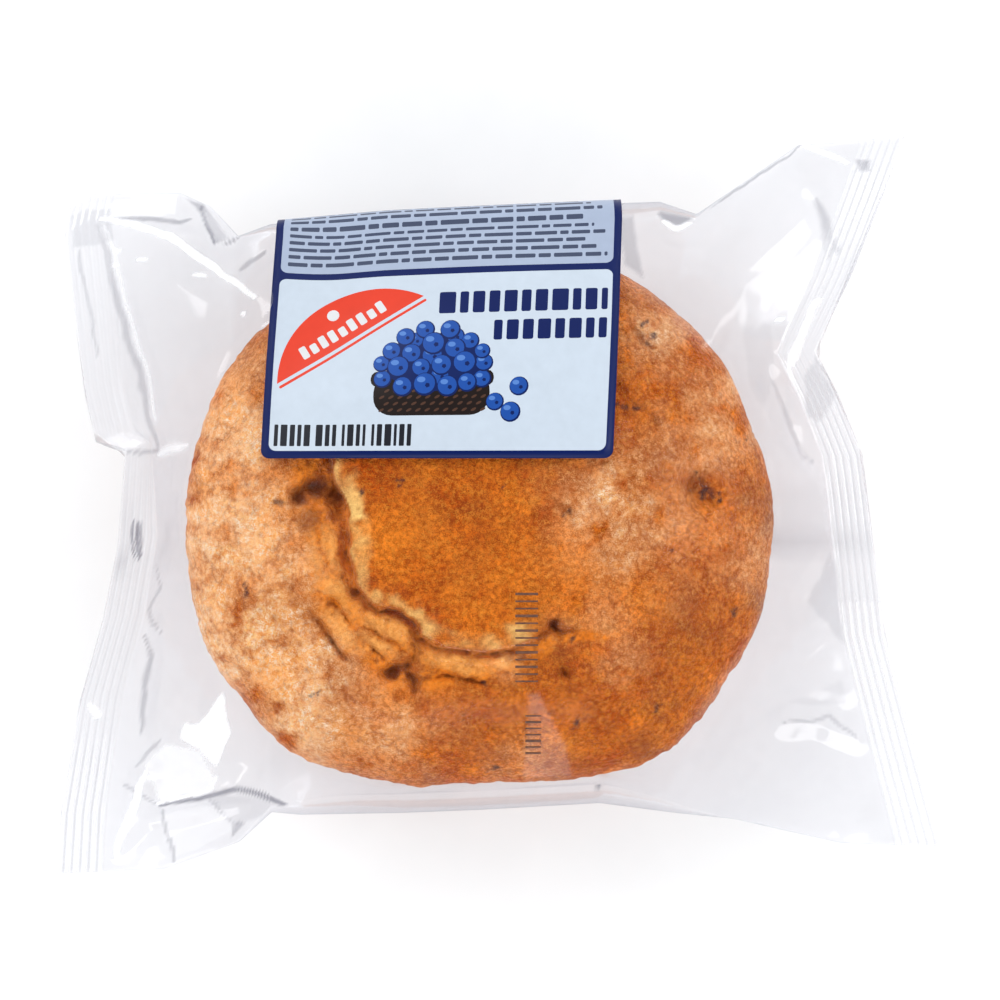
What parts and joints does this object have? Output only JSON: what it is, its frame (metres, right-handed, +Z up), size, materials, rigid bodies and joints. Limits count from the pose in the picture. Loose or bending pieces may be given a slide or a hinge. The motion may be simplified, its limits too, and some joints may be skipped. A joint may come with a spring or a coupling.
{
  "type": "muffin",
  "caption": "A domed, torn-topped berry muffin sealed in a clear crimped film bag with a printed label over its back shoulder.",
  "frame": {"origin": "centre of the bounding box in plan, at the height of the flat base that it rests on", "axes": "+X runs from the left end seal to the right end seal, +Y to the back where the label is, +Z up"},
  "size_m": [0.1636, 0.1355, 0.0472],
  "materials": {
    "film": "clear flow-wrap film lying on a brown baked crust, glossy, with milky folds at the sealed ends",
    "label_print": null
  },
  "bodies": {
    "root": {"sealed_bag": "film", "label": "label_print"}
  },
  "joints": []
}
